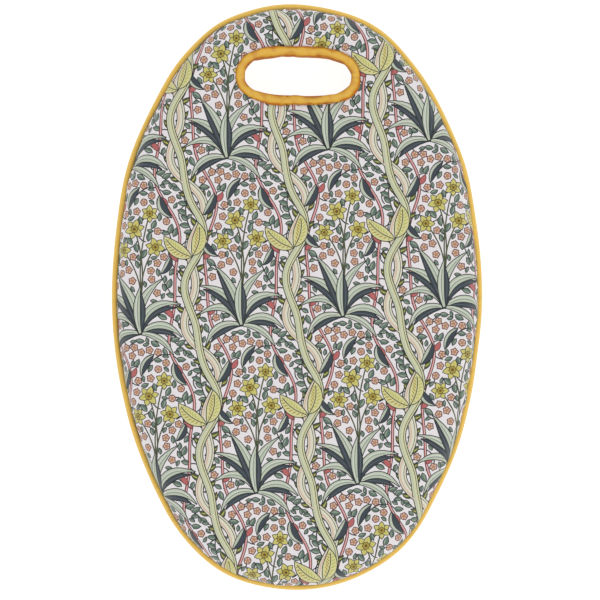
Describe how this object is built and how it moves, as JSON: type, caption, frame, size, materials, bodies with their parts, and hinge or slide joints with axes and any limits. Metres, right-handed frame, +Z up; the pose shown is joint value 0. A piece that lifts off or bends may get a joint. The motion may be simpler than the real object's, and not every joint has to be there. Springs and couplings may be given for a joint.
{
  "type": "kneeling pad",
  "caption": "Oval padded kneeler with a printed cover, a corded edge in a contrasting cloth and a bound hand slot near one end.",
  "frame": {"origin": "middle of the pad on the surface it lies on", "axes": "+X across the pad, +Y along it towards the hand slot, +Z up out of the printed face"},
  "size_m": [0.2838, 0.4498, 0.035],
  "materials": {
    "foam": "open-cell upholstery foam, matte",
    "printed_cloth": "plain-weave cotton with an all-over leaf print, matte",
    "base_cloth": "plain-weave cotton, matte",
    "cord": "soft cotton cord",
    "trim_cloth": "bias-cut cotton, soft sheen",
    "thread": "polyester sewing thread"
  },
  "bodies": {
    "root": {"foam_core": "foam", "top_cover": "printed_cloth", "base_cover": "base_cloth", "piping_cord": "cord", "piping_sleeve": "trim_cloth", "handle_binding": "trim_cloth", "perimeter_seam_thread": "thread", "perimeter_bobbin_thread": "thread", "handle_top_thread": "thread", "handle_base_thread": "thread", "closing_seam_thread": "thread"}
  },
  "joints": []
}
